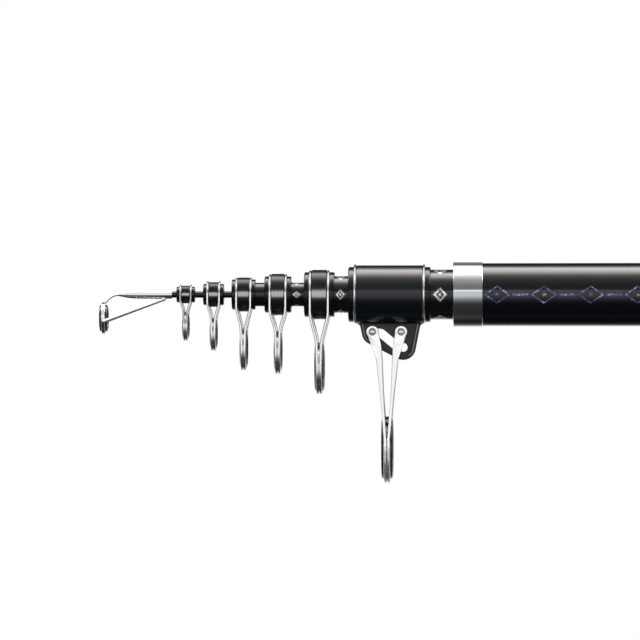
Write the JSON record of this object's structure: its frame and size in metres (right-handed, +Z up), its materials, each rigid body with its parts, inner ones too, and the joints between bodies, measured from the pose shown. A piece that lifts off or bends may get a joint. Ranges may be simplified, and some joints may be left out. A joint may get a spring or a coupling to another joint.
{
  "type": "telescopic fishing rod",
  "caption": "Collapsed telescopic fishing rod: nested blanks that slide out, floating and fixed wire guides, a folding stripper guide, a screw reel seat and a long grip.",
  "frame": {"origin": "on the rod's axis, midway along the rear grip", "axes": "+X along the rod towards the butt cap, so the tip is at -X; +Z up, and the line guides hang at -Z"},
  "size_m": [0.7807, 0.0318, 0.0849],
  "materials": {
    "blank": "clear-lacquered carbon fibre blank",
    "ceramic": "polished dark ceramic",
    "chrome": "polished",
    "spring_steel": "satin stainless",
    "lacquer": "gloss black",
    "band": "satin black",
    "bracket": "charcoal satin paint",
    "check_ring": "anodised gunmetal",
    "seat": "satin black moulding",
    "nut": "satin black moulding",
    "grip": "matt shrink tube",
    "insert": "turned",
    "rubber": "matt",
    "foam": "soft"
  },
  "bodies": {
    "butt": {"butt_section": "blank", "mouth_ferrule": "chrome", "fore_check": "check_ring", "seat_tube": "seat", "fixed_hood": "seat", "rear_check": "check_ring", "rear_grip": "grip", "butt_insert": "insert"},
    "fourth": {"fourth_section": "blank", "fold_sleeve": "lacquer", "fold_band": "band", "fold_front_trim": "chrome", "fold_rear_trim": "chrome", "fold_bracket": "bracket"},
    "third": {"third_section": "blank", "guide_5_sleeve": "lacquer", "guide_5_band": "band", "guide_5_frame": "chrome", "guide_5_ring": "ceramic"},
    "second": {"second_section": "blank", "guide_3_sleeve": "lacquer", "guide_3_band": "band", "guide_3_frame": "chrome", "guide_3_ring": "ceramic"},
    "tip": {"tip_section": "blank", "tip_top_frame": "chrome", "tip_top_ring": "ceramic"},
    "guide_1": {"guide_1_sleeve": "lacquer", "guide_1_band": "band", "guide_1_frame": "chrome", "guide_1_ring": "ceramic"},
    "guide_2": {"guide_2_sleeve": "lacquer", "guide_2_band": "band", "guide_2_frame": "chrome", "guide_2_ring": "ceramic"},
    "guide_4": {"guide_4_sleeve": "lacquer", "guide_4_band": "band", "guide_4_frame": "chrome", "guide_4_ring": "ceramic"},
    "folding_frame": {"front_stirrup": "spring_steel", "rear_stirrup": "spring_steel", "fold_bezel": "chrome", "fold_ring": "ceramic", "pivot_rivet": "chrome", "front_rivets": "chrome"},
    "hood": {"moving_hood": "seat"},
    "nut": {"lock_nut": "nut"},
    "cap": {"butt_cap": "rubber", "cap_plug": "insert", "cap_oring": "rubber", "cushion": "foam"}
  },
  "joints": [
    {"name": "fourth_slide", "type": "slide", "parent": "butt", "child": "fourth", "axis": [-1, 0, 0], "range_m": [0, 0.5589]},
    {"name": "third_slide", "type": "slide", "parent": "fourth", "child": "third", "axis": [-1, 0, 0], "range_m": [0, 0.6042]},
    {"name": "second_slide", "type": "slide", "parent": "third", "child": "second", "axis": [-1, 0, 0], "range_m": [0, 0.6283]},
    {"name": "tip_slide", "type": "slide", "parent": "second", "child": "tip", "axis": [-1, 0, 0], "range_m": [0, 0.6628]},
    {"name": "guide_1_slide", "type": "slide", "parent": "tip", "child": "guide_1", "axis": [1, 0, 0], "range_m": [0, 0.18558]},
    {"name": "guide_2_slide", "type": "slide", "parent": "tip", "child": "guide_2", "axis": [1, 0, 0], "range_m": [0, 0.39768]},
    {"name": "guide_4_slide", "type": "slide", "parent": "second", "child": "guide_4", "axis": [1, 0, 0], "range_m": [0, 0.31415]},
    {"name": "guide_fold", "type": "hinge", "parent": "fourth", "child": "folding_frame", "pos_m": [-0.5365, 0, -0.01365], "axis": [0, -1, 0], "range_deg": [0, 90]},
    {"name": "hood_slide", "type": "slide", "parent": "butt", "child": "hood", "axis": [-1, 0, 0], "range_m": [0, 0.012]},
    {"name": "nut_spin", "type": "hinge", "parent": "hood", "child": "nut", "pos_m": [-0.13926, 0, 0], "axis": [-1, 0, 0], "range_deg": [0, 2160]},
    {"name": "cap_off", "type": "slide", "parent": "butt", "child": "cap", "axis": [1, 0, 0], "range_m": [0, 0.03]}
  ],
  "couplings": [
    {"joint": "guide_1_slide", "follows": "tip_slide", "ratio": 0.28},
    {"joint": "guide_2_slide", "follows": "tip_slide", "ratio": 0.6},
    {"joint": "guide_4_slide", "follows": "second_slide", "ratio": 0.5},
    {"joint": "hood_slide", "follows": "nut_spin", "m_per_rad": 0.00031831}
  ]
}
